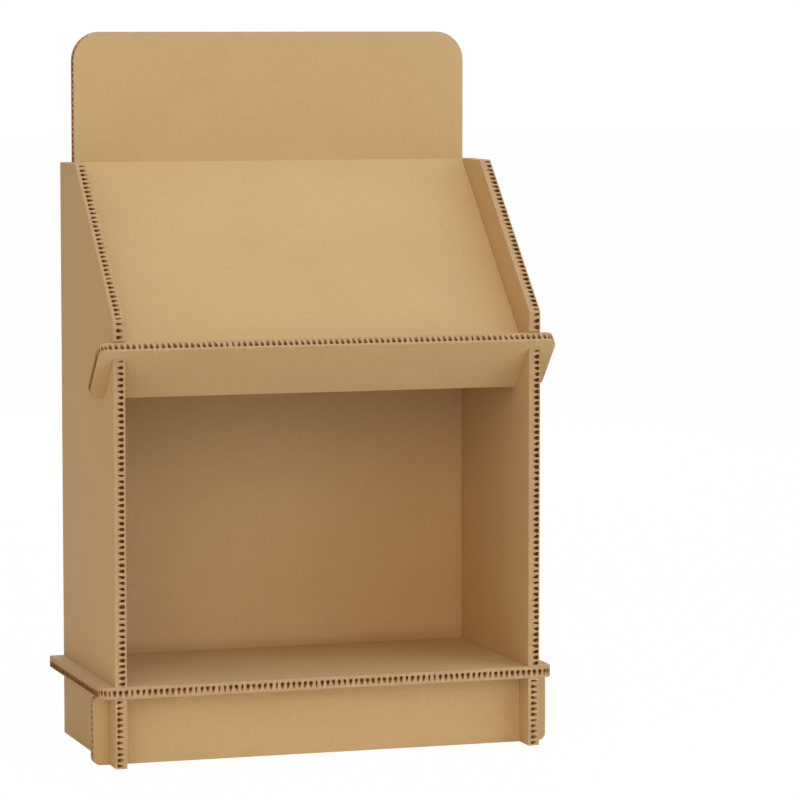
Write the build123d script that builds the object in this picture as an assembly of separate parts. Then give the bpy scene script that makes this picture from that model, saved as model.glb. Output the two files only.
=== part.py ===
"""Slot-together cardboard display stand: two side panels, a back panel with a rounded header, a sloping
display board with a front lip, and a bottom shelf over a set-back plinth.

Millimetres, +Z up, front towards -Y, origin on the floor at the middle of the whole stand.
"""

import os
from math import atan2, cos, degrees, pi, sin, tan

from build123d import *

# Board
board = 16.0  # thickness of every board
slot_clearance = 0.2  # play on each side of a board in a slot
butt_gap = 0.2  # play where a board's edge meets another board's face

# Side panels
stand_width = 600.0  # over the outer faces of the side panels
side_depth = 300.0
side_height = 800.0
side_top = 90.0  # level length at the top
knee_height = 600.0  # where the upright front edge turns into the sloping one

# Back panel and its header
header_height = 980.0
header_radius = 40.0

# Bottom shelf
shelf_top = 110.0
shelf_tab = 20.0  # reach past a side panel's outer face
shelf_radius = 15.0

# Front plinth
plinth_setback = 36.0  # behind the side panels' front edges
plinth_tab = 22.0
plinth_radius = 10.0

# Display slope, parallel to the side panels' sloping edges
slope_recess = 51.0  # square to the slope, from those edges down to its face

# Front lip, square to the slope
lip_below_knee = 50.0  # from the knee down to where its front face meets the side panels' front edges
lip_rise = 14.0  # along the lip, above that crossing
lip_drop = 80.0  # along the lip, below that crossing
lip_tab = 21.0
lip_radius = 12.0

# Open cells of the fluted core, seen as a row of pockets along each cut edge
flute_pitch = 8.0
flute_width = 4.6
flute_depth = 5.0
thick_liner = 4.0  # from the board's face to a cell's point
thin_liner = 3.0  # from the other face to the cell's broad end

# Places worked out from the sizes above
slope_angle = atan2(side_height - knee_height, side_depth - side_top)
lip_reach = lip_rise * sin(slope_angle)
front_y = lip_reach - (side_depth + lip_reach) / 2
back_y = front_y + side_depth
back_face_y = back_y - board
middle_y = (front_y + back_y) / 2
outer_x = stand_width / 2
inner_x = outer_x - board
shelf_bottom = shelf_top - board
slope_below_crossing = slope_recess - lip_below_knee * cos(slope_angle)
lip_crossing = knee_height - lip_below_knee
lip_lap = lip_drop / 2
plinth_lap = shelf_bottom / 2
plinth_front_y = front_y + plinth_setback
slot_width = board + 2 * slot_clearance
overcut = board

# Frames that the boards are drawn in, each with the board's thickness along its own normal
down_slope = Vector(0, -cos(slope_angle), -sin(slope_angle))
out_of_slope = Vector(0, -sin(slope_angle), cos(slope_angle))
crossing = Vector(0, front_y, lip_crossing)
lip_frame = Plane(crossing - down_slope * board, x_dir=(1, 0, 0), z_dir=down_slope)
back_frame = Plane((0, back_y, 0), x_dir=(1, 0, 0), z_dir=(0, -1, 0))
plinth_frame = Plane((0, plinth_front_y + board, 0), x_dir=(1, 0, 0), z_dir=(0, -1, 0))
shelf_frame = Plane((0, 0, shelf_bottom), x_dir=(1, 0, 0), z_dir=(0, 0, 1))
left_frame = Plane((-outer_x, 0, 0), x_dir=(0, 1, 0), z_dir=(1, 0, 0))
right_frame = Plane((inner_x, 0, 0), x_dir=(0, 1, 0), z_dir=(1, 0, 0))


def rectangle(low_x, high_x, low_y, high_y):
    """A rectangle from its four limits."""
    corners = [(low_x, low_y), (high_x, low_y), (high_x, high_y), (low_x, high_y)]
    return make_face(Polyline(*corners, close=True))


def rounded(face, corner_points, radius):
    """The face with the corners at these points rounded."""
    picked = [face.vertices().sort_by_distance((*point, 0))[0] for point in corner_points]
    return fillet(picked, radius)


def flute_cell(place, along, inward, broad_end_high):
    """One blind pocket of the fluted core, at a point on a board's edge, in the board's frame."""
    broad = board - thin_liner if broad_end_high else thin_liner
    point = thick_liner if broad_end_high else board - thick_liner
    mouth = place - inward * overcut
    half = along * (flute_width / 2)
    corners = [mouth - half + (0, 0, broad), mouth + half + (0, 0, broad), mouth + (0, 0, point)]
    return Solid.extrude(Face(Wire.make_polygon(corners)), inward * (overcut + flute_depth))


def flute_row(start, end, broad_end_high=True, lead=flute_pitch / 2, tail=flute_pitch / 2):
    """A row of pockets along a straight edge, with the board to the left of the way from start to end."""
    first, last = Vector(*start), Vector(*end)
    along = (last - first).normalized()
    inward = Vector(-along.Y, along.X, 0)
    room = (last - first).length - lead - tail
    count = max(int(room / flute_pitch) + 1, 0)
    spare = (room - (count - 1) * flute_pitch) / 2
    stations = [lead + spare + index * flute_pitch for index in range(count)]
    return [flute_cell(first + along * station, along, inward, broad_end_high) for station in stations]


def flute_arc(centre, radius, start_angle, broad_end_high=True):
    """A row of pockets round a quarter-circle corner, anticlockwise from the start angle in radians."""
    count = max(int(radius * pi / 2 / flute_pitch), 1)
    cells = []
    for index in range(count):
        angle = start_angle + (index + 0.5) * pi / 2 / count
        outward = Vector(cos(angle), sin(angle), 0)
        along = Vector(-sin(angle), cos(angle), 0)
        cells.append(flute_cell(Vector(*centre) + outward * radius, along, outward * -1, broad_end_high))
    return cells


def cut_board(face, frame, pockets):
    """A board of one thickness from its outline, with its flute pockets, placed in the stand."""
    blank = extrude(face, amount=board)
    fluted = blank.cut(*pockets) if pockets else blank
    return frame * fluted


def side_outline():
    """A side panel's outline with its three slots, in Y and Z."""
    corners = [
        (front_y, 0),
        (back_y, 0),
        (back_y, side_height),
        (back_y - side_top, side_height),
        (front_y, knee_height),
    ]
    outline = make_face(Polyline(*corners, close=True))
    slot_low = -slot_clearance
    slot_high = board + slot_clearance
    shelf_slot = rectangle(-overcut, side_depth / 2 + slot_clearance, slot_low, slot_high)
    plinth_slot = rectangle(slot_low, slot_high, -overcut, plinth_lap + slot_clearance)
    lip_slot = rectangle(slot_low, slot_high, -lip_lap - slot_clearance, lip_rise + 2 * overcut)
    outline -= Pos(front_y, shelf_bottom) * shelf_slot
    outline -= Pos(plinth_front_y, 0) * plinth_slot
    outline -= Pos(front_y, lip_crossing) * Rot(0, 0, degrees(slope_angle)) * lip_slot
    return outline


def side_pockets(broad_end_high_above_lip, broad_end_high_below_lip):
    """The open cells along a side panel's front, slope, top and back edges."""
    lip_slot_top = lip_crossing + board / cos(slope_angle)
    knee = (front_y, knee_height)
    top_front = (back_y - side_top, side_height)
    top_back = (back_y, side_height)
    above, below = broad_end_high_above_lip, broad_end_high_below_lip
    return [
        *flute_row(top_back, top_front, above, lead=flute_pitch),
        *flute_row(top_front, knee, above),
        *flute_row(knee, (front_y, lip_slot_top), above),
        *flute_row((front_y, lip_crossing), (front_y, shelf_top), below),
        *flute_row((front_y, shelf_bottom), (front_y, 0), below),
        *flute_row((back_y, 0), top_back, above, tail=flute_pitch),
    ]


def make_left_side_panel():
    """The left side panel. Its outer face is the low side of its frame."""
    return cut_board(side_outline(), left_frame, side_pockets(False, True))


def make_right_side_panel():
    """The right side panel. Its outer face is the high side of its frame."""
    return cut_board(side_outline(), right_frame, side_pockets(True, True))


def make_back_panel():
    """The back panel, rising above the side panels as a header with rounded corners."""
    half = inner_x - butt_gap
    top_corners = [(-half, header_height), (half, header_height)]
    outline = rounded(rectangle(-half, half, 0, header_height), top_corners, header_radius)
    corner_x = half - header_radius
    corner_z = header_height - header_radius
    pockets = [
        *flute_row((half, side_height), (half, corner_z)),
        *flute_arc((corner_x, corner_z), header_radius, 0),
        *flute_row((corner_x, header_height), (-corner_x, header_height)),
        *flute_arc((-corner_x, corner_z), header_radius, pi / 2),
        *flute_row((-half, corner_z), (-half, side_height)),
    ]
    return cut_board(outline, back_frame, pockets)


def make_display_slope():
    """The sloping board, its top edge mitred upright against the back panel."""
    half = inner_x - butt_gap
    foot = crossing - down_slope * (board + butt_gap) - out_of_slope * slope_below_crossing
    foot_under = foot - out_of_slope * board
    head_y = back_face_y - butt_gap
    head_z = foot.Z + (head_y - foot.Y) * tan(slope_angle)
    head_under_z = foot_under.Z + (head_y - foot_under.Y) * tan(slope_angle)
    corners = [
        (foot.Y, foot.Z),
        (foot_under.Y, foot_under.Z),
        (head_y, head_under_z),
        (head_y, head_z),
    ]
    section = make_face(Polyline(*corners, close=True))
    return Plane((-half, 0, 0), x_dir=(0, 1, 0), z_dir=(1, 0, 0)) * extrude(section, amount=2 * half)


def make_front_lip():
    """The lip, with a slot up from its lower edge for each side panel."""
    half = outer_x + lip_tab
    corners = [(-half, -lip_drop), (half, -lip_drop), (half, lip_rise), (-half, lip_rise)]
    outline = rounded(rectangle(-half, half, -lip_drop, lip_rise), corners, lip_radius)
    slot = rectangle(-slot_width / 2, slot_width / 2, -lip_drop - overcut, -lip_lap + slot_clearance)
    side_centre = outer_x - board / 2
    outline = outline - Pos(-side_centre, 0) * slot - Pos(side_centre, 0) * slot
    straight = half - lip_radius
    end_low = -lip_drop + lip_radius
    end_high = lip_rise - lip_radius
    pockets = [
        *flute_row((straight, lip_rise), (-straight, lip_rise)),
        *flute_row((half, end_low), (half, end_high)),
        *flute_row((-half, end_high), (-half, end_low)),
    ]
    return cut_board(outline, lip_frame, pockets)


def make_bottom_shelf():
    """The shelf, slotted from behind for the side panels and cut back between them for the back panel."""
    half = outer_x + shelf_tab
    front_corners = [(-half, front_y), (half, front_y)]
    outline = rounded(rectangle(-half, half, front_y, back_y), front_corners, shelf_radius)
    slot = rectangle(-slot_width / 2, slot_width / 2, middle_y - slot_clearance, back_y + overcut)
    side_centre = outer_x - board / 2
    back_cut = rectangle(-side_centre, side_centre, back_face_y - butt_gap, back_y + overcut)
    outline = outline - Pos(-side_centre, 0) * slot - Pos(side_centre, 0) * slot - back_cut
    straight = half - shelf_radius
    pockets = [
        *flute_row((-straight, front_y), (straight, front_y)),
        *flute_row((half, front_y + shelf_radius), (half, back_y), tail=flute_pitch),
        *flute_row((half, back_y), (outer_x, back_y), lead=flute_pitch),
        *flute_row((-outer_x, back_y), (-half, back_y), tail=flute_pitch),
        *flute_row((-half, back_y), (-half, front_y + shelf_radius), lead=flute_pitch),
    ]
    return cut_board(outline, shelf_frame, pockets)


def make_front_plinth():
    """The plinth, with a slot down from its upper edge for each side panel."""
    half = outer_x + plinth_tab
    corners = [(-half, 0), (half, 0), (half, shelf_bottom), (-half, shelf_bottom)]
    outline = rounded(rectangle(-half, half, 0, shelf_bottom), corners, plinth_radius)
    slot = rectangle(-slot_width / 2, slot_width / 2, plinth_lap - slot_clearance, shelf_bottom + overcut)
    side_centre = outer_x - board / 2
    outline = outline - Pos(-side_centre, 0) * slot - Pos(side_centre, 0) * slot
    end_low = plinth_radius
    end_high = shelf_bottom - plinth_radius
    pockets = [
        *flute_row((half, end_low), (half, end_high)),
        *flute_row((-half, end_high), (-half, end_low)),
    ]
    return cut_board(outline, plinth_frame, pockets)


makers = {
    "left_side_panel": make_left_side_panel,
    "right_side_panel": make_right_side_panel,
    "back_panel": make_back_panel,
    "display_slope": make_display_slope,
    "front_lip": make_front_lip,
    "bottom_shelf": make_bottom_shelf,
    "front_plinth": make_front_plinth,
}

os.makedirs("parts", exist_ok=True)
for name, maker in makers.items():
    piece = maker()
    piece.label = name
    export_step(piece, f"parts/{name}.step")
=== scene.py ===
"""Looks of a slot-together display stand of thick kraft board, built round its CAD frame.

Seven boards are cut to outline, and each cut edge shows the open cells of the board's fluted core.
"""

import math
import random

import bmesh
import bpy
from mathutils import Matrix, Vector, kdtree


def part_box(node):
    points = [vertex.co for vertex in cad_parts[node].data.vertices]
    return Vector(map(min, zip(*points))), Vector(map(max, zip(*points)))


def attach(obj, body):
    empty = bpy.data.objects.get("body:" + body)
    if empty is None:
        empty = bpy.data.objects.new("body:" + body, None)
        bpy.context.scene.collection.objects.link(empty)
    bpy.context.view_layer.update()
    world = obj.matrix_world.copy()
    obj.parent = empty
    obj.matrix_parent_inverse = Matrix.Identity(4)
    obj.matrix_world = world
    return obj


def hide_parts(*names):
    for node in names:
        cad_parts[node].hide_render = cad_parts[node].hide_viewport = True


bl_info = {
    "name": "Kraft Board Display Stand",
    "version": (1, 0, 0),
    "blender": (4, 5, 0),
    "location": "3D View > Sidebar > Stand",
    "description": "Models the boards of a slot-together display stand and sets up its studio",
    "category": "Object",
}

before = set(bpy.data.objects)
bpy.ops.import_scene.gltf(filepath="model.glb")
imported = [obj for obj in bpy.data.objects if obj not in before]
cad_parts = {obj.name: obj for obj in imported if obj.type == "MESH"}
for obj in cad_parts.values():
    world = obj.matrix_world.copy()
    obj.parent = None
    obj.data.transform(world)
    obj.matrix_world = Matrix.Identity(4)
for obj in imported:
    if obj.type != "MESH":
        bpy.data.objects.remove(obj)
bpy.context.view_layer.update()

PLACE = "board_place"
# Material slots: paper faces, raw cut edges, and the painted shade of a cell's tail and of its deep end.
PAPER, CUT, CELL_SHADE, DEEP_CELL_SHADE = 0, 1, 2, 3
SAME_POINT = 0.00005
ALONG_X = Vector((1, 0, 0))
ALONG_Y = Vector((0, 1, 0))
ALONG_Z = Vector((0, 0, 1))


def thickness_of_boards():
    """The board thickness, from a side panel of the frame."""
    low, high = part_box("left_side_panel")
    return high.x - low.x


class StandBoardSizes(bpy.types.PropertyGroup):
    """Sizes of the boards that the frame's boxes don't give."""

    knee_height: bpy.props.FloatProperty(
        name="Knee height",
        description="Where a side panel's upright front edge turns into the sloping one",
        default=0.600,
        unit="LENGTH",
    )
    top_run: bpy.props.FloatProperty(
        name="Top run",
        description="Level length at the top of a side panel",
        default=0.090,
        unit="LENGTH",
    )
    slot_play: bpy.props.FloatProperty(
        name="Slot play",
        description="Room on each side of a board in a slot",
        default=0.0002,
        unit="LENGTH",
    )
    header_radius: bpy.props.FloatProperty(
        name="Header radius",
        description="Radius of the header's top corners",
        default=0.040,
        unit="LENGTH",
    )
    lip_radius: bpy.props.FloatProperty(
        name="Lip radius",
        description="Radius of the lip's corners",
        default=0.012,
        unit="LENGTH",
    )
    shelf_radius: bpy.props.FloatProperty(
        name="Shelf radius",
        description="Radius of the shelf's front corners",
        default=0.015,
        unit="LENGTH",
    )
    plinth_radius: bpy.props.FloatProperty(
        name="Plinth radius",
        description="Radius of the plinth's corners",
        default=0.010,
        unit="LENGTH",
    )
    crush: bpy.props.FloatProperty(
        name="Crush",
        description="Width of the crushed paper along a board's edges",
        default=0.0005,
        unit="LENGTH",
    )


class StandFluteSizes(bpy.types.PropertyGroup):
    """Sizes of the open cells along the cut edges."""

    pitch: bpy.props.FloatProperty(
        name="Pitch",
        description="From one flute to the next",
        default=0.008,
        unit="LENGTH",
    )
    width: bpy.props.FloatProperty(
        name="Cell width",
        description="Width of a regular cell at its broad end",
        default=0.0060,
        unit="LENGTH",
    )
    length: bpy.props.FloatProperty(
        name="Cell length",
        description="Length of a regular cell across the board",
        default=0.0100,
        unit="LENGTH",
    )
    liner: bpy.props.FloatProperty(
        name="Liner",
        description="From a cell's broad end to the nearer face of the board",
        default=0.0026,
        unit="LENGTH",
    )
    rim: bpy.props.FloatProperty(
        name="Rim",
        description="Depth of the crushed rim round a cell's mouth",
        default=0.0007,
        unit="LENGTH",
    )
    depth: bpy.props.FloatProperty(
        name="Cell depth",
        description="How far a cell is modelled into the board",
        default=0.006,
        unit="LENGTH",
    )


class StandPaperLook(bpy.types.PropertyGroup):
    """Colours of the kraft paper, and the painted shade inside its open cells."""

    kraft: bpy.props.FloatVectorProperty(
        name="Kraft",
        description="Main colour of the paper faces",
        default=(0.590, 0.393, 0.203),
        size=3,
        subtype="COLOR",
    )
    kraft_shade: bpy.props.FloatVectorProperty(
        name="Kraft shade",
        description="Darker clouds and fibres in the paper",
        default=(0.545, 0.358, 0.180),
        size=3,
        subtype="COLOR",
    )
    cut_edge: bpy.props.FloatVectorProperty(
        name="Cut edge",
        description="Raw paper of a cut edge",
        default=(0.480, 0.304, 0.182),
        size=3,
        subtype="COLOR",
    )
    # Painted shade: a dark brown in place of the shade in a cell's shallow tail; it also colours the
    # paper's dark flecks.
    cell: bpy.props.FloatVectorProperty(
        name="Cell",
        description="Paper in the shallow tail of an open cell",
        default=(0.320, 0.170, 0.075),
        size=3,
        subtype="COLOR",
    )
    # Painted shade: a darker brown in place of the deep shade at a cell's broad end.
    deep_cell_shade: bpy.props.FloatVectorProperty(
        name="Deep cell",
        description="Paper in the deep end of an open cell",
        default=(0.260, 0.100, 0.020),
        size=3,
        subtype="COLOR",
    )
    roughness: bpy.props.FloatProperty(
        name="Roughness",
        description="Roughness of the uncoated paper",
        default=0.82,
        subtype="FACTOR",
    )


class StandStudio(bpy.types.PropertyGroup):
    """Camera and light."""

    azimuth: bpy.props.FloatProperty(
        name="Azimuth",
        description="Turn of the camera to the left of the stand's front",
        default=math.radians(17.893),
        subtype="ANGLE",
    )
    elevation: bpy.props.FloatProperty(
        name="Elevation",
        description="Tilt of the camera above level",
        default=math.radians(5.294),
        subtype="ANGLE",
    )
    distance: bpy.props.FloatProperty(
        name="Distance",
        description="From the camera to the point that it looks at",
        default=5.6642,
        unit="LENGTH",
    )
    aim: bpy.props.FloatVectorProperty(
        name="Aim",
        description="Point that the camera looks at",
        default=(0.14528, 0.0, 0.46974),
        size=3,
        subtype="XYZ",
    )
    lens: bpy.props.FloatProperty(
        name="Lens",
        description="Focal length in millimetres on a 36 mm sensor",
        default=183.2,
    )
    front_light: bpy.props.FloatProperty(
        name="Front light",
        description="Power of the large soft light in front",
        default=38.6,
        subtype="POWER",
    )
    left_light: bpy.props.FloatProperty(
        name="Left light",
        description="Power of the large soft light in front at the left",
        default=34.1,
        subtype="POWER",
    )
    right_light: bpy.props.FloatProperty(
        name="Right light",
        description="Power of the large soft light in front at the right",
        default=63.8,
        subtype="POWER",
    )
    top_light: bpy.props.FloatProperty(
        name="Top light",
        description="Power of the large soft light overhead",
        default=74.4,
        subtype="POWER",
    )
    foot_light: bpy.props.FloatProperty(
        name="Foot light",
        description="Power of the narrow soft light on the plinth",
        default=0.122,
        subtype="POWER",
    )
    side_light: bpy.props.FloatProperty(
        name="Side light",
        description="Power of the soft light beside the left panel",
        default=9.5,
        subtype="POWER",
    )
    rear_light: bpy.props.FloatProperty(
        name="Rear light",
        description="Power of the soft light behind",
        default=75.0,
        subtype="POWER",
    )
    room_light: bpy.props.FloatProperty(
        name="Room light",
        description="Strength of the even light all round",
        default=0.175,
    )
    warm_tint: bpy.props.FloatVectorProperty(
        name="Warm tint",
        description="Colour of the lights in front and at the left, and of the even light",
        default=(1.0, 0.854, 0.63),
        size=3,
        subtype="COLOR",
    )
    cool_tint: bpy.props.FloatVectorProperty(
        name="Cool tint",
        description="Colour of the lights overhead and at the right",
        default=(0.795, 0.932, 1.0),
        size=3,
        subtype="COLOR",
    )
    floor_tone: bpy.props.FloatVectorProperty(
        name="Floor tone",
        description="Colour of the floor",
        default=(0.90, 0.90, 0.90),
        size=3,
        subtype="COLOR",
    )


class StandSettings(bpy.types.PropertyGroup):
    """All settings of the display stand."""

    boards: bpy.props.PointerProperty(type=StandBoardSizes)
    flutes: bpy.props.PointerProperty(type=StandFluteSizes)
    paper: bpy.props.PointerProperty(type=StandPaperLook)
    studio: bpy.props.PointerProperty(type=StandStudio)


def settings():
    """The stand's settings in the current scene."""
    return bpy.context.scene.display_stand


# Shader sockets and nodes


class Signal:
    """A node's output that takes part in sums, each of which adds a Math node."""

    def __init__(self, sheet, socket):
        self.sheet = sheet
        self.socket = socket

    def math(self, operation, first, second):
        return self.sheet.add("ShaderNodeMath", {"operation": operation}, {0: first, 1: second})

    def __add__(self, other):
        return self.math("ADD", self, other)

    __radd__ = __add__

    def __sub__(self, other):
        return self.math("SUBTRACT", self, other)

    def __mul__(self, other):
        return self.math("MULTIPLY", self, other)

    __rmul__ = __mul__

    def __gt__(self, other):
        return self.math("GREATER_THAN", self, other)


class NodeSheet:
    """The node tree of a material or world, emptied and ready to be filled."""

    FIRST_COLOUR, SECOND_COLOUR, MIXED_COLOUR = 6, 7, 2

    def __init__(self, owner):
        owner.use_nodes = True
        self.tree = owner.node_tree
        self.tree.nodes.clear()

    def add(self, kind, options=None, inputs=None, output=0):
        """Adds a node with its options set first, then its sockets' values or links."""
        node = self.tree.nodes.new(kind)
        for name, value in (options or {}).items():
            setattr(node, name, value)
        for name, value in (inputs or {}).items():
            if isinstance(value, Signal):
                self.tree.links.new(value.socket, node.inputs[name])
            else:
                node.inputs[name].default_value = value
        return Signal(self, node.outputs[output]) if node.outputs else None

    def noise(self, place, scale=1.0, detail=2.0, rough=0.5):
        """Soft noise from 0 to 1 over a place."""
        inputs = {"Vector": place, "Scale": scale, "Detail": detail, "Roughness": rough}
        return self.add("ShaderNodeTexNoise", None, inputs)

    def stretch(self, place, factors):
        """The place, stretched by a factor along each axis."""
        return self.add("ShaderNodeVectorMath", {"operation": "MULTIPLY"}, {0: place, 1: factors})

    def ramp(self, value, low, high):
        """0 below the low value, 1 above the high one, smooth between them."""
        inputs = {"Value": value, "From Min": low, "From Max": high}
        return self.add("ShaderNodeMapRange", {"interpolation_type": "SMOOTHSTEP"}, inputs)

    def blend(self, factor, first, second):
        """A mix of two colours."""
        options = {"data_type": "RGBA"}
        inputs = {"Factor": factor, self.FIRST_COLOUR: first, self.SECOND_COLOUR: second}
        return self.add("ShaderNodeMix", options, inputs, output=self.MIXED_COLOUR)


def opaque(colour):
    """A colour setting with its alpha."""
    return (*colour, 1.0)


# Grain of the papers: scales and stretches of the noises, and their shares in shade and relief
CLOUD_SCALE, CLOUD_SHARE = 9.0, 0.30
MOTTLE_SCALE, MOTTLE_SHARE, MOTTLE_RELIEF = 130.0, 0.35, 0.4
FIBRE_STRETCH, FIBRE_SHARE, FIBRE_RELIEF = (900.0, 90.0, 900.0), 0.35, 0.6
FLECK_STRETCH, FLECK_STRENGTH = (420.0, 160.0, 420.0), 0.15
HAIR_STRETCH, HAIR_SHARE = (500.0, 500.0, 1600.0), 0.5
EDGE_BLOTCH_SCALE, EDGE_BLOTCH_SHARE = 160.0, 0.5
CELL_BLOTCH_SCALE, CELL_BLOTCH_STRENGTH = 240.0, 0.25
MEAN_NOISE = 0.5
ROUGHNESS_SPREAD = 0.12


def kraft_paper():
    """Paper of the board faces: cloudy kraft with fine upright fibres and stray flecks."""
    material = bpy.data.materials.get("kraft_paper")
    if material:
        return material
    material = bpy.data.materials.new("kraft_paper")
    look = settings().paper
    sheet = NodeSheet(material)
    place = sheet.add("ShaderNodeAttribute", {"attribute_name": PLACE}, output="Vector")
    clouds = sheet.noise(place, CLOUD_SCALE, detail=3.0)
    mottle = sheet.noise(place, MOTTLE_SCALE, detail=4.0, rough=0.6)
    fibres = sheet.noise(sheet.stretch(place, FIBRE_STRETCH), detail=3.0, rough=0.6)
    flecks = sheet.noise(sheet.stretch(place, FLECK_STRETCH), detail=1.0)
    shade = CLOUD_SHARE * clouds + MOTTLE_SHARE * mottle + FIBRE_SHARE * fibres
    tone = sheet.ramp(shade, low=0.32, high=0.68)
    paper = sheet.blend(tone, opaque(look.kraft_shade), opaque(look.kraft))
    dark_fleck = sheet.ramp(flecks, low=0.70, high=0.78) * FLECK_STRENGTH
    paper = sheet.blend(dark_fleck, paper, opaque(look.cell))
    relief = FIBRE_RELIEF * fibres + MOTTLE_RELIEF * mottle
    bump = sheet.add("ShaderNodeBump", None, {"Strength": 0.25, "Distance": 0.0004, "Height": relief})
    roughness = look.roughness + ROUGHNESS_SPREAD * (mottle - MEAN_NOISE)
    finish_paper(sheet, paper, roughness, bump)
    return material


def raw_edge():
    """Raw cut paper, duller and hairier than the faces."""
    material = bpy.data.materials.get("raw_edge")
    if material:
        return material
    material = bpy.data.materials.new("raw_edge")
    look = settings().paper
    sheet = NodeSheet(material)
    place = sheet.add("ShaderNodeAttribute", {"attribute_name": PLACE}, output="Vector")
    hair = sheet.noise(sheet.stretch(place, HAIR_STRETCH), detail=4.0, rough=0.65)
    blotch = sheet.noise(place, EDGE_BLOTCH_SCALE)
    tone = sheet.ramp(HAIR_SHARE * hair + EDGE_BLOTCH_SHARE * blotch, low=0.30, high=0.62)
    paper = sheet.blend(tone, opaque(look.kraft_shade), opaque(look.cut_edge))
    bump = sheet.add("ShaderNodeBump", None, {"Strength": 0.4, "Distance": 0.0006, "Height": hair})
    finish_paper(sheet, paper, roughness=0.9, bump=bump)
    return material


def painted_cell_shade(name):
    """Painted shade inside the open cells: paper in one of two dark browns that stand in for the shade in a
    cell's recess.
    """
    material = bpy.data.materials.get(name)
    if material:
        return material
    material = bpy.data.materials.new(name)
    look = settings().paper
    # The lighter brown paints the shade in a cell's tail, the darker one the shade in its deep end.
    brown = look.cell if name == "painted_cell_shade" else look.deep_cell_shade
    sheet = NodeSheet(material)
    place = sheet.add("ShaderNodeAttribute", {"attribute_name": PLACE}, output="Vector")
    blotch = sheet.ramp(sheet.noise(place, CELL_BLOTCH_SCALE, detail=3.0), low=0.35, high=0.65)
    paper = sheet.blend(CELL_BLOTCH_STRENGTH * blotch, opaque(brown), opaque(look.kraft_shade))
    finish_paper(sheet, paper, roughness=0.95, bump=None, sheen=0.0)
    return material


def finish_paper(sheet, colour, roughness, bump, sheen=0.25):
    """Ends a paper's nodes in a matt shader."""
    inputs = {"Base Color": colour, "Roughness": roughness, "Specular IOR Level": sheen}
    if bump:
        inputs["Normal"] = bump
    shader = sheet.add("ShaderNodeBsdfPrincipled", None, inputs)
    sheet.add("ShaderNodeOutputMaterial", None, {"Surface": shader})


# Modelling by operators


def deselect_all():
    """Leaves nothing selected."""
    bpy.ops.object.select_all(action="DESELECT")


def pick_only(piece):
    """Selects one object and makes it active."""
    deselect_all()
    piece.select_set(True)
    bpy.context.view_layer.objects.active = piece


def edit(piece, mode="VERT"):
    """Opens an object for editing."""
    pick_only(piece)
    bpy.ops.object.mode_set(mode="EDIT")
    bpy.ops.mesh.select_mode(type=mode)


def end_edit():
    """Goes back to object mode."""
    bpy.ops.object.mode_set(mode="OBJECT")


def pick_vertices(piece, test):
    """Selects the vertices whose place passes the test, in an open edit."""
    mesh = bmesh.from_edit_mesh(piece.data)
    for vertex in mesh.verts:
        vertex.select = test(vertex.co)
    mesh.select_flush_mode()
    bmesh.update_edit_mesh(piece.data)


def pick_faces(piece, test):
    """Selects the faces that pass the test, in an open edit of faces."""
    bpy.ops.mesh.select_all(action="DESELECT")
    mesh = bmesh.from_edit_mesh(piece.data)
    for face in mesh.faces:
        face.select = test(face)
    mesh.select_flush_mode()
    bmesh.update_edit_mesh(piece.data)


def give_slots(piece, slot_of_face):
    """Gives a mesh the four papers, two of them painted shade for the open cells, and each face the one
    that the function picks for it.
    """
    papers = (kraft_paper(), raw_edge(), painted_cell_shade("painted_cell_shade"), painted_cell_shade("painted_deep_shade"))
    for material in papers:
        piece.data.materials.append(material)
    for face in piece.data.polygons:
        face.material_index = slot_of_face(face)


class Facet:
    """One straight bit of a board's outline: a plain cut, or the mouth of one open cell."""

    def __init__(self, start, end, style=None, broad_high=True, room=math.inf):
        self.start = start
        self.end = end
        self.style = style
        self.broad_high = broad_high
        self.room = room

    def heading(self):
        return (self.end - self.start).normalized()

    def middle(self):
        return (self.start + self.end) / 2


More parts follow.
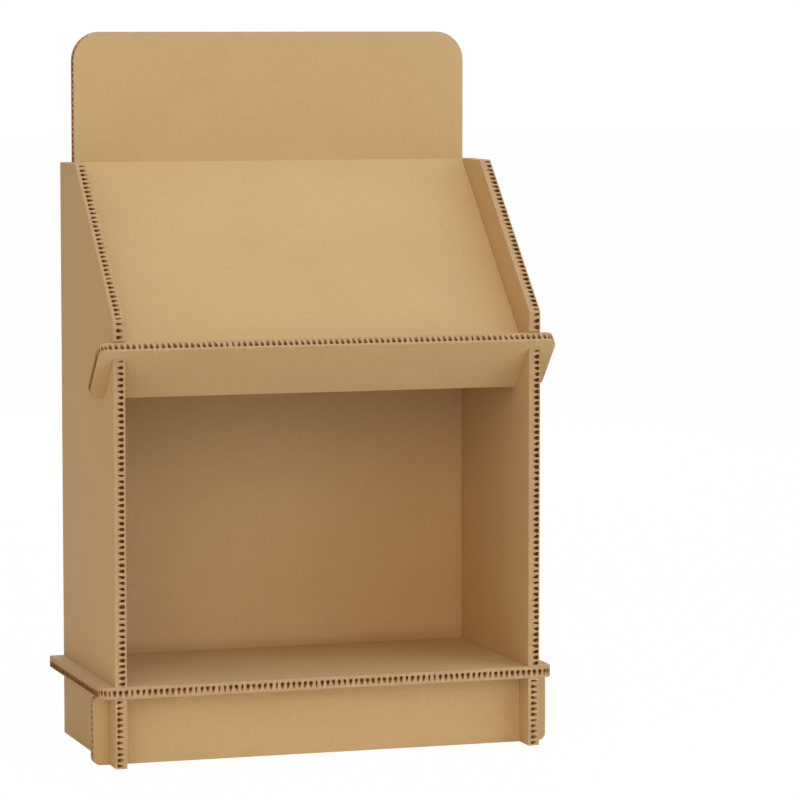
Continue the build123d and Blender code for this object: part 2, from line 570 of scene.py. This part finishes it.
class Outline:
    """A board's outline, followed anticlockwise."""

    SHARP_TURN = math.radians(30)
    CELLS_NEAR_CORNER = 3
    LEAST_CORNER_CELLS = 4
    CORNER_ROOM = 0.22
    WALL_SHARE = 0.9

    def __init__(self, start):
        self.here = Vector(start)
        self.facets = []

    def step(self, point, **features):
        self.facets.append(Facet(self.here, point, **features))
        self.here = point

    def plain(self, *points):
        """Straight cuts through these points, with no open cells."""
        for point in points:
            self.step(Vector(point))

    def fluted(self, point, broad_high=True, style="central"):
        """A straight cut with a row of open cells."""
        start = self.here.copy()
        end = Vector(point)
        count = max(round((end - start).length / settings().flutes.pitch), 1)
        for index in range(count):
            self.step(start.lerp(end, (index + 1) / count), style=style, broad_high=broad_high)

    def corner(self, radius, broad_high=True, style="turning"):
        """A quarter turn to the left, with an open cell on each of its facets."""
        heading = self.facets[-1].heading()
        centre = self.here + Vector((-heading.y, heading.x)) * radius
        arm = self.here - centre
        arc = radius * math.pi / 2
        count = max(round(arc / settings().flutes.pitch), self.LEAST_CORNER_CELLS)
        room = self.CORNER_ROOM * radius
        for index in range(count):
            turn = Matrix.Rotation(math.pi / 2 * (index + 1) / count, 2)
            self.step(centre + turn @ arm, style=style, broad_high=broad_high, room=room)

    def ease_corners(self):
        """Limits the depth of cells next to a sharp corner, so that they don't run into anything."""
        for index, facet in enumerate(self.facets):
            before = self.facets[index - 1]
            turn = -before.heading().angle_signed(facet.heading())
            if abs(turn) < self.SHARP_TURN:
                continue
            inside = math.pi - turn
            slant = inside / 2 if facet.style and before.style else inside
            if slant < math.pi / 2:
                after = range(index, index + self.CELLS_NEAR_CORNER)
                ahead = range(index - 1, index - 1 - self.CELLS_NEAR_CORNER, -1)
                self.limit(after, facet.start, math.tan(slant))
                self.limit(ahead, facet.start, math.tan(slant))

    def limit(self, indices, corner, slope):
        """Gives each cell the depth that a wall rising at this slope from the corner leaves it."""
        half = settings().flutes.width * NARROW_WIDTH / 2
        heading = self.facets[indices[0] % len(self.facets)].heading()
        for index in indices:
            facet = self.facets[index % len(self.facets)]
            if abs(facet.heading().dot(heading)) < math.cos(self.SHARP_TURN):
                return
            gap = (facet.middle() - corner).length - half
            facet.room = min(facet.room, self.WALL_SHARE * gap * slope)


# Rows of a mouth's points from its broad end: angles on a circle, shares of width and of depth
MOUTH_POINTS = 12
ROW_ANGLES = [math.radians(angle) for angle in (75, 45, 15, -15, -45, -75)]
ROW_WIDTHS = (0.62, 0.96, 1.00, 0.76, 0.56, 0.32)
ROW_DEPTHS = (1.0, 1.0, 1.0, 0.45, 0.20, 0.08)
WIDEST_ROW = 2
RIM_LENGTH = 0.86
MOST_OF_PITCH = 0.96
NARROW_WIDTH = 0.55
ROW_REACH = 0.02
WITHIN_EDGE = 0.495
AT_BOTTOM = 0.99
BELOW_RIM = 1.2
DEEP_OVERLAP = 0.05
TAIL_RIM = 0.9


class CellForm:
    """The shape of one open cell, as shares of the regular cell's sizes."""

    def __init__(self, width, length, tail, lean, style):
        flutes = settings().flutes
        wider, longer, liner, fullness, self.rim_width, self.pale_rim = CELL_STYLES[style]
        most = flutes.pitch * MOST_OF_PITCH
        self.width = min(flutes.width * width * wider, most)
        self.length = flutes.length * length * longer
        slack = (most - self.width) / 2
        self.lean = max(-slack, min(slack, self.width * lean))
        self.middle = thickness_of_boards() / 2 - flutes.liner * liner - self.length / 2
        head, taper = ROW_WIDTHS[: WIDEST_ROW + 1], ROW_WIDTHS[WIDEST_ROW + 1 :]
        self.half_widths = [max(share, fullness) for share in head]
        self.half_widths += [max(share * tail, fullness) for share in taper]

    def mouth_point(self, row, side):
        """A point of the mouth's edge, by its row and side."""
        level = math.sin(ROW_ANGLES[row])
        across = side * self.half_widths[row] * self.width / 2 - self.lean * level
        return Vector((across, self.middle + level * self.length / 2, 0))


# Shares of the regular cell: width, length, liner, least width of a row, width inside the rim, pale rim
# above the painted shade
CELL_STYLES = {
    "tucked": (0.96, 1.0, 0.65, 0.0, 0.80, 0.9),
    "central": (0.96, 0.98, 1.40, 0.0, 0.80, 0.9),
    "outermost": (1.08, 0.95, 0.25, 0.0, 0.84, 0.9),
    "gaping": (1.12, 1.10, 0.6, 0.80, 0.90, 0.9),
    "channel": (1.30, 1.15, 0.7, 1.0, 0.97, 0.1),
    "groove": (1.30, 0.85, 0.5, 1.0, 0.97, 0.1),
    "turning": (1.12, 0.98, 1.40, 0.3, 0.85, 0.9),
}
STYLES_ALONG_FLUTES = ("channel", "groove")
# Shares of the regular cell: width, length, width of the tail, lean
CELL_FORMS = (
    (1.00, 1.00, 1.00, 0.00),
    (1.05, 0.96, 1.10, 0.08),
    (0.92, 1.04, 0.95, -0.10),
    (0.84, 0.94, 1.10, 0.12),
    (1.10, 1.02, 1.12, -0.05),
    (0.96, 0.84, 1.20, 0.00),
    (0.90, 0.92, 0.85, 0.10),
    (NARROW_WIDTH, 0.98, 1.30, 0.10),
)


def surround_mouth(cell, form):
    """Fills the cut edge round a cell's mouth, from the edge's corners, in an open edit."""
    across, along = settings().flutes.pitch / 2, thickness_of_boards() / 2

    def fill(*points):
        pick_vertices(cell, lambda place: any((place - point).length < SAME_POINT for point in points))
        bpy.ops.mesh.edge_face_add()

    sides = []
    for side in (-1, 1):
        broad = Vector((side * across, along, 0))
        narrow = Vector((side * across, -along, 0))
        mouth = [form.mouth_point(row, side) for row in range(len(ROW_ANGLES))]
        fill(broad, narrow, mouth[WIDEST_ROW])
        for row in range(len(mouth) - 1):
            fill(broad if row < WIDEST_ROW else narrow, mouth[row], mouth[row + 1])
        sides.append((broad, narrow, mouth))
    (left_broad, left_narrow, left), (right_broad, right_narrow, right) = sides
    fill(left_broad, right_broad, left[0], right[0])
    fill(left_narrow, right_narrow, left[-1], right[-1])


def model_cell(form):
    """One open cell: a bit of cut edge one flute long, round a mouth that is broad at one end."""
    flutes = settings().flutes
    board = thickness_of_boards()
    deselect_all()
    bpy.ops.mesh.primitive_plane_add(size=1.0)
    cell = bpy.context.object
    edit(cell)
    bpy.ops.mesh.select_all(action="SELECT")
    bpy.ops.transform.resize(value=(flutes.pitch, board, 1), center_override=(0, 0, 0))
    bpy.ops.mesh.delete(type="ONLY_FACE")
    bpy.ops.mesh.primitive_circle_add(
        vertices=MOUTH_POINTS, radius=0.5, rotation=(0, 0, math.pi / MOUTH_POINTS)
    )
    bpy.ops.transform.resize(value=(form.width, form.length, 1), center_override=(0, 0, 0))
    bpy.ops.transform.translate(value=(0, form.middle, 0))

    def in_mouth(place):
        return abs(place.x) < flutes.pitch * WITHIN_EDGE

    def pick_rows(angles, reach, low):
        levels = [form.middle + math.sin(angle) * form.length / 2 * reach for angle in angles]
        near = form.length * ROW_REACH

        def in_rows(place):
            return any(abs(place.y - level) < near for level in levels)

        pick_vertices(cell, lambda place: in_mouth(place) and place.z < low and in_rows(place))

    for angle, half_width in zip(ROW_ANGLES, form.half_widths):
        pick_rows([angle], reach=1.0, low=math.inf)
        squeeze = half_width / math.cos(angle)
        bpy.ops.transform.resize(value=(squeeze, 1, 1), center_override=(0, 0, 0))
        bpy.ops.transform.translate(value=(-form.lean * math.sin(angle), 0, 0))
    surround_mouth(cell, form)
    pick_vertices(cell, in_mouth)
    centre = (0, form.middle, 0)
    bpy.ops.mesh.extrude_region_move(TRANSFORM_OT_translate={"value": (0, 0, -flutes.rim)})
    bpy.ops.transform.resize(value=(form.rim_width, RIM_LENGTH, 1), center_override=centre)
    drop = flutes.depth - flutes.rim
    bpy.ops.mesh.extrude_region_move(TRANSFORM_OT_translate={"value": (0, 0, -drop)})
    for angle, share in zip(ROW_ANGLES, ROW_DEPTHS):
        pick_rows([angle], RIM_LENGTH, -flutes.depth * AT_BOTTOM)
        bpy.ops.transform.translate(value=(0, 0, drop * (1 - share)))
    for pair in zip(ROW_ANGLES, ROW_ANGLES[1:]):
        pick_rows(pair, RIM_LENGTH, -flutes.rim * BELOW_RIM)
        bpy.ops.mesh.edge_face_add()
    end_edit()

    # Each face's paper: raw edge on the pale rim, and below it painted shade, darker at the deep end than
    # in the tail.
    def paper_of(face):
        deep_end = face.center.y > form.middle - form.length * DEEP_OVERLAP
        pale_rim = form.pale_rim if deep_end else TAIL_RIM
        if face.center.z > -flutes.rim * pale_rim:
            return CUT
        return DEEP_CELL_SHADE if deep_end else CELL_SHADE

    give_slots(cell, paper_of)
    cell.hide_render = True
    return cell


cell_patterns = {}


def model_cells():
    """For each style of edge, the regular cell and, except where flutes run along it, the crooked ones."""
    for style in CELL_STYLES:
        forms = CELL_FORMS[:1] if style in STYLES_ALONG_FLUTES else CELL_FORMS
        cell_patterns[style] = [model_cell(CellForm(*form, style)) for form in forms]


def clear_cells():
    """Takes the pattern cells out of the scene again."""
    for cell in sum(cell_patterns.values(), []):
        bpy.data.objects.remove(cell)
    cell_patterns.clear()


# Lengths and limits for cutting a plate and welding its cells in
START_SIZE = 0.001
LEVEL = 0.5
FACET_REACH = 0.0001
WELD = 0.00002
REGULAR_CHANCE = 0.4
SMOOTH_ANGLE = math.radians(30)


def cut_plate(name, outline):
    """A plate of one board's thickness, drawn corner by corner and extruded."""
    first = outline.facets[0].start
    deselect_all()
    bpy.ops.mesh.primitive_plane_add(size=START_SIZE, location=(first.x, first.y, 0))
    plate = bpy.context.object
    plate.name = name
    bpy.ops.object.transform_apply(location=True)
    edit(plate)
    bpy.ops.mesh.select_all(action="SELECT")
    bpy.ops.mesh.merge(type="CENTER")
    for facet in outline.facets:
        way = facet.end - facet.start
        bpy.ops.mesh.extrude_vertices_move(TRANSFORM_OT_translate={"value": (way.x, way.y, 0)})
    bpy.ops.mesh.select_all(action="SELECT")
    bpy.ops.mesh.remove_doubles(threshold=SAME_POINT)
    bpy.ops.mesh.edge_face_add()
    up = (0, 0, thickness_of_boards())
    bpy.ops.mesh.extrude_region_move(TRANSFORM_OT_translate={"value": up})
    bpy.ops.mesh.select_all(action="SELECT")
    bpy.ops.mesh.normals_make_consistent(inside=False)
    end_edit()
    give_slots(plate, lambda face: PAPER if abs(face.normal.z) > LEVEL else CUT)
    return plate


def open_cells(plate, outline, seed):
    """Puts an open cell into the plate's edge at each fluted facet."""
    outline.ease_corners()
    half = thickness_of_boards() / 2
    mouths = [facet for facet in outline.facets if facet.style]
    tree = kdtree.KDTree(len(mouths))
    for index, facet in enumerate(mouths):
        tree.insert((*facet.middle(), half), index)
    tree.balance()
    edit(plate, "FACE")
    pick_faces(plate, lambda face: tree.find(face.calc_center_median())[2] < FACET_REACH)
    bpy.ops.mesh.delete(type="ONLY_FACE")
    end_edit()
    if not cell_patterns:
        model_cells()
    chance = random.Random(seed)
    flutes = settings().flutes
    copies = []
    for facet in mouths:
        pattern = pick_pattern(chance, facet)
        copy = pattern.copy()
        copy.data = pattern.data.copy()
        copy.hide_render = False
        bpy.context.collection.objects.link(copy)
        along = facet.heading()
        size = (facet.end - facet.start).length / flutes.pitch
        side = chance.choice((-1, 1))
        turn = 1 if facet.broad_high else -1
        columns = (
            Vector((along.x, along.y, 0)) * size * side,
            ALONG_Z * turn,
            Vector((along.y, -along.x, 0)) * min(1.0, facet.room / flutes.depth),
        )
        matrix = Matrix(columns).transposed().to_4x4()
        matrix.translation = (*facet.middle(), half)
        copy.matrix_world = matrix
        copies.append(copy)
    deselect_all()
    for copy in copies:
        copy.select_set(True)
    plate.select_set(True)
    bpy.context.view_layer.objects.active = plate
    bpy.ops.object.join()
    edit(plate)
    bpy.ops.mesh.select_all(action="SELECT")
    bpy.ops.mesh.remove_doubles(threshold=WELD)
    bpy.ops.mesh.normals_make_consistent(inside=False)
    end_edit()


def pick_pattern(chance, facet):
    """The regular cell or any one of its style, and where there is little room, the narrow one."""
    patterns = cell_patterns[facet.style]
    if facet.room < settings().flutes.depth and facet.style != "turning":
        return patterns[-1]
    return patterns[0] if chance.random() < REGULAR_CHANCE else chance.choice(patterns)


def soften_edges(board):
    """Crushes the paper a little where the board's faces meet a fluted cut, and leaves plain cuts sharp."""
    edit(board, "EDGE")
    bpy.ops.mesh.select_all(action="DESELECT")
    mesh = bmesh.from_edit_mesh(board.data)
    rims = set()
    for edge in mesh.edges:
        if len({face.material_index == PAPER for face in edge.link_faces}) == 2:
            rims.add(edge)
    for edge in rims:
        cut = next(face for face in edge.link_faces if face.material_index != PAPER)
        reaches_one_face = sum(side in rims for side in cut.edges) == 1
        edge.select = reaches_one_face
    bmesh.update_edit_mesh(board.data)
    bpy.ops.mesh.bevel(offset=settings().boards.crush, segments=1, clamp_overlap=False)
    end_edit()


def place_board(board, node, origin, run, rise, seed):
    soften_edges(board)
    mesh = board.data
    own = mesh.attributes.new(PLACE, "FLOAT_VECTOR", "POINT")
    for point, vertex in zip(own.data, mesh.vertices):
        point.vector = vertex.co + ALONG_X * seed
    matrix = Matrix((run, rise, run.cross(rise))).transposed().to_4x4()
    matrix.translation = origin
    board.matrix_world = matrix
    pick_only(board)
    bpy.ops.object.transform_apply(location=True, rotation=True, scale=True)
    bpy.ops.object.shade_smooth_by_angle(angle=SMOOTH_ANGLE)
    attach(board, "root")
    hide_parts(node)


class StandPlan:
    """Places that the boards share, read from the frame."""

    def __init__(self):
        sizes = settings().boards
        self.board = thickness_of_boards()
        self.play = sizes.slot_play
        left_low, left_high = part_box("left_side_panel")
        self.front, self.back, self.side_height = left_low.y, left_high.y, left_high.z
        self.outer = -left_low.x
        self.middle = (self.front + self.back) / 2
        rise = self.side_height - sizes.knee_height
        self.angle = math.atan2(rise, self.back - self.front - sizes.top_run)
        self.up_slope = Vector((0, math.cos(self.angle), math.sin(self.angle)))
        self.out_of_slope = Vector((0, -math.sin(self.angle), math.cos(self.angle)))
        lip_low, lip_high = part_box("front_lip")
        sine, cosine = math.sin(self.angle), math.cos(self.angle)
        self.lip_length = (lip_high.z - lip_low.z - self.board * sine) / cosine
        self.lip_rise = (self.front - lip_low.y) / sine
        self.lip_half = lip_high.x
        lip_top = Vector((0, lip_low.y, lip_high.z - self.board * sine))
        self.crossing = lip_top - self.out_of_slope * self.lip_rise
        self.lip_lap = (self.lip_length - self.lip_rise) / 2

    def side_point(self, up, out):
        """A point of a side panel, from the lip's crossing, up the slope and out of it."""
        place = self.crossing + self.up_slope * up + self.out_of_slope * out
        return (place.y, place.z)


# One operator for each kind of board


class StandSidePanels(bpy.types.Operator):
    """Models the two side panels with their slots"""

    bl_idname = "stand.side_panels"
    bl_label = "Side Panels"

    LEFT_SEED = 11
    RIGHT_SEED = 12

    def execute(self, context):
        plan = StandPlan()
        left_x = -plan.outer
        right_x = plan.outer - plan.board
        left_styles = ("central", "tucked", "tucked")
        right_styles = ("outermost", "outermost", "central")
        left_broad_high = (False, True, False)
        right_broad_high = (True, True, False)
        self.panel(plan, "left_side_panel", left_x, left_broad_high, left_styles, self.LEFT_SEED)
        self.panel(plan, "right_side_panel", right_x, right_broad_high, right_styles, self.RIGHT_SEED)
        return {"FINISHED"}

    def panel(self, plan, node, low_x, broad_high, styles, seed):
        """One side panel, with its cells' way and style above the lip, below it and at the foot."""
        above, below, foot = broad_high
        style_above, style_below, style_foot = styles
        sizes = settings().boards
        plinth_low, plinth_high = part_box("front_plinth")
        shelf_low, shelf_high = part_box("bottom_shelf")
        play = plan.play
        plinth_slot_top = plinth_high.z / 2 + play
        outline = Outline((plan.front, 0))
        outline.plain((plan.front + settings().flutes.pitch, 0))
        outline.fluted((plinth_low.y - play, 0), above)
        outline.plain(
            (plinth_low.y - play, plinth_slot_top),
            (plinth_high.y + play, plinth_slot_top),
            (plinth_high.y + play, 0),
        )
        outline.fluted((plan.back, 0), above)
        outline.fluted((plan.back, plan.side_height), above)
        outline.fluted((plan.back - sizes.top_run, plan.side_height), above, style_above)
        outline.fluted((plan.front, sizes.knee_height), above, style_above)
        slot_low, slot_high = -play, plan.board + play
        sine = math.sin(plan.angle)
        outline.fluted((plan.front, plan.crossing.z + slot_high / sine), above, style_above)
        slot_end = -plan.lip_lap - play
        outline.plain(
            plan.side_point(slot_high, slot_end),
            plan.side_point(slot_low, slot_end),
            (plan.front, plan.crossing.z + slot_low / sine),
        )
        outline.fluted((plan.front, shelf_high.z + play), below, style_below)
        outline.plain(
            (plan.middle + play, shelf_high.z + play),
            (plan.middle + play, shelf_low.z - play),
            (plan.front, shelf_low.z - play),
        )
        outline.fluted((plan.front, 0), foot, style_foot)
        panel = cut_plate(node.replace("_panel", "_board"), outline)
        open_cells(panel, outline, seed)
        place_board(panel, node, Vector((low_x, 0, 0)), ALONG_Y, ALONG_Z, seed)


class StandBackPanel(bpy.types.Operator):
    """Models the back panel, which rises above the sides as the header"""

    bl_idname = "stand.back_panel"
    bl_label = "Back Panel"

    SEED = 21

    def execute(self, context):
        plan = StandPlan()
        radius = settings().boards.header_radius
        low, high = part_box("back_panel")
        outline = Outline((low.x, 0))
        outline.fluted((high.x, 0))
        outline.plain((high.x, plan.side_height))
        outline.fluted((high.x, high.z - radius), False, "gaping")
        outline.corner(radius, False, "gaping")
        outline.fluted((low.x + radius, high.z), False)
        outline.corner(radius, False, "gaping")
        outline.fluted((low.x, plan.side_height), False, "gaping")
        outline.plain((low.x, 0))
        panel = cut_plate("back_board", outline)
        open_cells(panel, outline, self.SEED)
        place_board(panel, "back_panel", Vector((0, high.y, 0)), ALONG_X, ALONG_Z, self.SEED)
        return {"FINISHED"}


class StandDisplaySlope(bpy.types.Operator):
    """Models the sloping board between the sides"""

    bl_idname = "stand.display_slope"
    bl_label = "Display Slope"

    SEED = 31
    MITRE_ROOM = 1.2

    def execute(self, context):
        plan = StandPlan()
        low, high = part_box("display_slope")
        length = (high.y - low.y) / math.cos(plan.angle)
        mitre = plan.board * math.tan(plan.angle)
        fluted_end = length - mitre * self.MITRE_ROOM
        outline = Outline((low.x, 0))
        outline.fluted((high.x, 0), False)
        outline.fluted((high.x, fluted_end), False)
        outline.plain((high.x, length), (low.x, length), (low.x, fluted_end))
        outline.fluted((low.x, 0), False)
        slope = cut_plate("slope_board", outline)
        open_cells(slope, outline, self.SEED)
        edit(slope)
        pick_vertices(slope, lambda place: place.y > fluted_end + mitre / 2 and place.z < plan.board / 2)
        bpy.ops.transform.translate(value=(0, -mitre, 0))
        end_edit()
        head = Vector((0, high.y, high.z))
        origin = head - plan.up_slope * length - plan.out_of_slope * plan.board
        place_board(slope, "display_slope", origin, ALONG_X, plan.up_slope, self.SEED)
        return {"FINISHED"}


class StandFrontLip(bpy.types.Operator):
    """Models the lip across the foot of the slope"""

    bl_idname = "stand.front_lip"
    bl_label = "Front Lip"

    SEED = 41

    def execute(self, context):
        plan = StandPlan()
        radius = settings().boards.lip_radius
        half, length = plan.lip_half, plan.lip_length
        slot_top = plan.lip_lap + plan.play
        far, near = plan.outer + plan.play, plan.outer - plan.board - plan.play
        outline = Outline((-half + radius, 0))
        outline.fluted((-far, 0))
        outline.plain((-far, slot_top), (-near, slot_top), (-near, 0))
        outline.fluted((near, 0))
        outline.plain((near, slot_top), (far, slot_top), (far, 0))
        outline.fluted((half - radius, 0))
        outline.corner(radius)
        outline.fluted((half, length - radius), style="channel")
        outline.corner(radius)
        outline.fluted((-half + radius, length))
        outline.corner(radius)
        outline.fluted((-half, radius), style="channel")
        outline.corner(radius)
        lip = cut_plate("lip_board", outline)
        open_cells(lip, outline, self.SEED)
        drop = plan.lip_length - plan.lip_rise
        origin = plan.crossing + plan.up_slope * plan.board - plan.out_of_slope * drop
        place_board(lip, "front_lip", origin, ALONG_X, plan.out_of_slope, self.SEED)
        return {"FINISHED"}


class StandBottomShelf(bpy.types.Operator):
    """Models the shelf near the floor"""

    bl_idname = "stand.bottom_shelf"
    bl_label = "Bottom Shelf"

    SEED = 51

    def execute(self, context):
        plan = StandPlan()
        radius = settings().boards.shelf_radius
        low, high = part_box("bottom_shelf")
        cut_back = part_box("back_panel")[0].y - plan.play
        slot_end = plan.middle - plan.play
        far, near = plan.outer + plan.play, plan.outer - plan.board - plan.play
        outline = Outline((low.x + radius, low.y))
        outline.fluted((high.x - radius, low.y))
        outline.corner(radius)
        outline.fluted((high.x, high.y), False, "groove")
        outline.fluted((far, high.y), False)
        outline.plain((far, slot_end), (near, slot_end), (near, cut_back))
        outline.plain((-near, cut_back), (-near, slot_end), (-far, slot_end), (-far, high.y))
        outline.fluted((low.x, high.y), False)
        outline.fluted((low.x, low.y + radius), False, "groove")
        outline.corner(radius)
        shelf = cut_plate("shelf_board", outline)
        open_cells(shelf, outline, self.SEED)
        place_board(shelf, "bottom_shelf", Vector((0, 0, low.z)), ALONG_X, ALONG_Y, self.SEED)
        return {"FINISHED"}


class StandFrontPlinth(bpy.types.Operator):
    """Models the set-back plinth under the shelf"""

    bl_idname = "stand.front_plinth"
    bl_label = "Front Plinth"

    SEED = 61

    def execute(self, context):
        plan = StandPlan()
        radius = settings().boards.plinth_radius
        low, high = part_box("front_plinth")
        slot_end = high.z / 2 - plan.play
        far, near = plan.outer + plan.play, plan.outer - plan.board - plan.play
        outline = Outline((low.x + radius, 0))
        outline.fluted((high.x - radius, 0))
        outline.corner(radius)
        outline.fluted((high.x, high.z - radius))
        outline.corner(radius)
        outline.plain((far, high.z), (far, slot_end), (near, slot_end), (near, high.z))
        outline.plain((-near, high.z), (-near, slot_end), (-far, slot_end), (-far, high.z))
        outline.plain((low.x + radius, high.z))
        outline.corner(radius)
        outline.fluted((low.x, radius))
        outline.corner(radius)
        plinth = cut_plate("plinth_board", outline)
        open_cells(plinth, outline, self.SEED)
        place_board(plinth, "front_plinth", Vector((0, high.y, 0)), ALONG_X, ALONG_Z, self.SEED)
        return {"FINISHED"}


class StandStage(bpy.types.Operator):
    """Sets up the floor, the light and the camera"""

    bl_idname = "stand.stage"
    bl_label = "Stage"

    FLOOR_SIZE = 60.0
    FLOOR_GLOW = 0.985
    WHITE = (1, 1, 1, 1)
    FULL = 1.0
    ANY_RAY = 0.5
    MIDDLE = Vector((0, 0, 0.45))
    FOOT = Vector((0, -0.1, 0.05))
    LARGE_LAMP = 3.6
    SIDE_LAMP = 1.6
    FOOT_LAMP_WIDTH = 0.9
    FOOT_LAMP_HEIGHT = 0.06
    FOOT_LAMP_SPREAD = math.radians(30)
    SENSOR_WIDTH = 36.0
    FAR_CLIP = 200.0

    def execute(self, context):
        studio = settings().studio
        context.scene.view_settings.view_transform = "Standard"
        self.floor(studio)
        self.room(context.scene, studio)
        self.lamps(studio)
        self.camera(context.scene, studio)
        clear_cells()
        return {"FINISHED"}

    def seen_directly(self, sheet):
        """1 for rays from the camera, straight or by a mirror or glass, and 0 for light on the object."""
        seen = sheet.add("ShaderNodeLightPath", output="Is Camera Ray")
        glossy = sheet.add("ShaderNodeLightPath", output="Is Glossy Ray")
        through = sheet.add("ShaderNodeLightPath", output="Is Transmission Ray")
        return (seen + glossy + through) > self.ANY_RAY

    def floor(self, studio):
        deselect_all()
        bpy.ops.mesh.primitive_plane_add(size=self.FLOOR_SIZE)
        floor = bpy.context.object
        floor.name = "studio_floor"
        material = bpy.data.materials.new("studio_floor")
        sheet = NodeSheet(material)
        paint = sheet.add("ShaderNodeBsdfDiffuse", None, {"Color": opaque(studio.floor_tone)})
        glow = sheet.add("ShaderNodeEmission", None, {"Color": self.WHITE, "Strength": self.FULL})
        share = self.seen_directly(sheet) * self.FLOOR_GLOW
        mixed = sheet.add("ShaderNodeMixShader", None, {0: share, 1: paint, 2: glow})
        sheet.add("ShaderNodeOutputMaterial", None, {"Surface": mixed})
        floor.data.materials.append(material)

    def room(self, scene, studio):
        world = bpy.data.worlds.new("studio_room")
        scene.world = world
        sheet = NodeSheet(world)
        even = {"Color": opaque(studio.warm_tint), "Strength": studio.room_light}
        lit = sheet.add("ShaderNodeBackground", None, even)
        seen = sheet.add("ShaderNodeBackground", None, {"Color": self.WHITE, "Strength": self.FULL})
        mixed = sheet.add("ShaderNodeMixShader", None, {0: self.seen_directly(sheet), 1: lit, 2: seen})
        sheet.add("ShaderNodeOutputWorld", None, {"Surface": mixed})

    def lamps(self, studio):
        middle, large = self.MIDDLE, self.LARGE_LAMP
        warm = studio.warm_tint
        cool = studio.cool_tint
        self.lamp("front_lamp", (-1.2, -4.1, 1.9), middle, large, studio.front_light, warm)
        self.lamp("left_lamp", (-3.0, -2.6, 1.8), middle, large, studio.left_light, warm)
        self.lamp("right_lamp", (3.0, -2.6, 1.8), middle, large, studio.right_light, cool)
        self.lamp("top_lamp", (0, -0.8, 3.8), middle, large, studio.top_light, cool)
        self.lamp("side_lamp", (-4.0, 0.3, 0.5), middle, self.SIDE_LAMP, studio.side_light, warm)
        self.lamp("rear_lamp", (0.8, 4.2, 2.2), middle, large, studio.rear_light)
        foot_place = (0, -1.5, 0.06)
        lamp = self.lamp("foot_lamp", foot_place, self.FOOT, self.FOOT_LAMP_WIDTH, studio.foot_light)
        lamp.shape = "RECTANGLE"
        lamp.size_y = self.FOOT_LAMP_HEIGHT
        lamp.spread = self.FOOT_LAMP_SPREAD

    def lamp(self, name, place, target, size, power, tint=(1, 1, 1)):
        deselect_all()
        turn = (target - Vector(place)).to_track_quat("-Z", "Y").to_euler()
        bpy.ops.object.light_add(type="AREA", location=place, rotation=turn)
        lamp = bpy.context.object
        lamp.name = name
        lamp.data.shape = "DISK"
        lamp.data.size = size
        lamp.data.energy = power
        lamp.data.color = tint
        return lamp.data

    def camera(self, scene, studio):
        aim = Vector(studio.aim)
        level = math.cos(studio.elevation)
        way = Vector(
            (
                -math.sin(studio.azimuth) * level,
                -math.cos(studio.azimuth) * level,
                math.sin(studio.elevation),
            )
        )
        place = aim + way * studio.distance
        turn = (-way).to_track_quat("-Z", "Y").to_euler()
        deselect_all()
        bpy.ops.object.camera_add(location=place, rotation=turn)
        camera = bpy.context.object
        camera.name = "studio_camera"
        camera.data.sensor_width = self.SENSOR_WIDTH
        camera.data.lens = studio.lens
        camera.data.clip_end = self.FAR_CLIP
        scene.camera = camera


OPERATORS = (
    StandSidePanels,
    StandBackPanel,
    StandDisplaySlope,
    StandFrontLip,
    StandBottomShelf,
    StandFrontPlinth,
    StandStage,
)


class StandPanel(bpy.types.Panel):
    """Lists the stand's settings and the operators that model its boards"""

    bl_idname = "VIEW3D_PT_display_stand"
    bl_label = "Display Stand"
    bl_space_type = "VIEW_3D"
    bl_region_type = "UI"
    bl_category = "Stand"

    def draw(self, context):
        stand = context.scene.display_stand
        for group in (stand.boards, stand.flutes, stand.paper, stand.studio):
            box = self.layout.box()
            for name in group.bl_rna.properties.keys():
                if name not in ("rna_type", "name"):
                    box.prop(group, name)
        for operator in OPERATORS:
            self.layout.operator(operator.bl_idname)


CLASSES = (
    StandBoardSizes,
    StandFluteSizes,
    StandPaperLook,
    StandStudio,
    StandSettings,
    *OPERATORS,
    StandPanel,
)


def register():
    for item in CLASSES:
        bpy.utils.register_class(item)
    bpy.types.Scene.display_stand = bpy.props.PointerProperty(type=StandSettings)


def unregister():
    del bpy.types.Scene.display_stand
    for item in reversed(CLASSES):
        bpy.utils.unregister_class(item)


def main():
    """Registers the add-on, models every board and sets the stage."""
    register()
    bpy.ops.stand.side_panels()
    bpy.ops.stand.back_panel()
    bpy.ops.stand.display_slope()
    bpy.ops.stand.front_lip()
    bpy.ops.stand.bottom_shelf()
    bpy.ops.stand.front_plinth()
    bpy.ops.stand.stage()


if __name__ == "__main__":
    main()
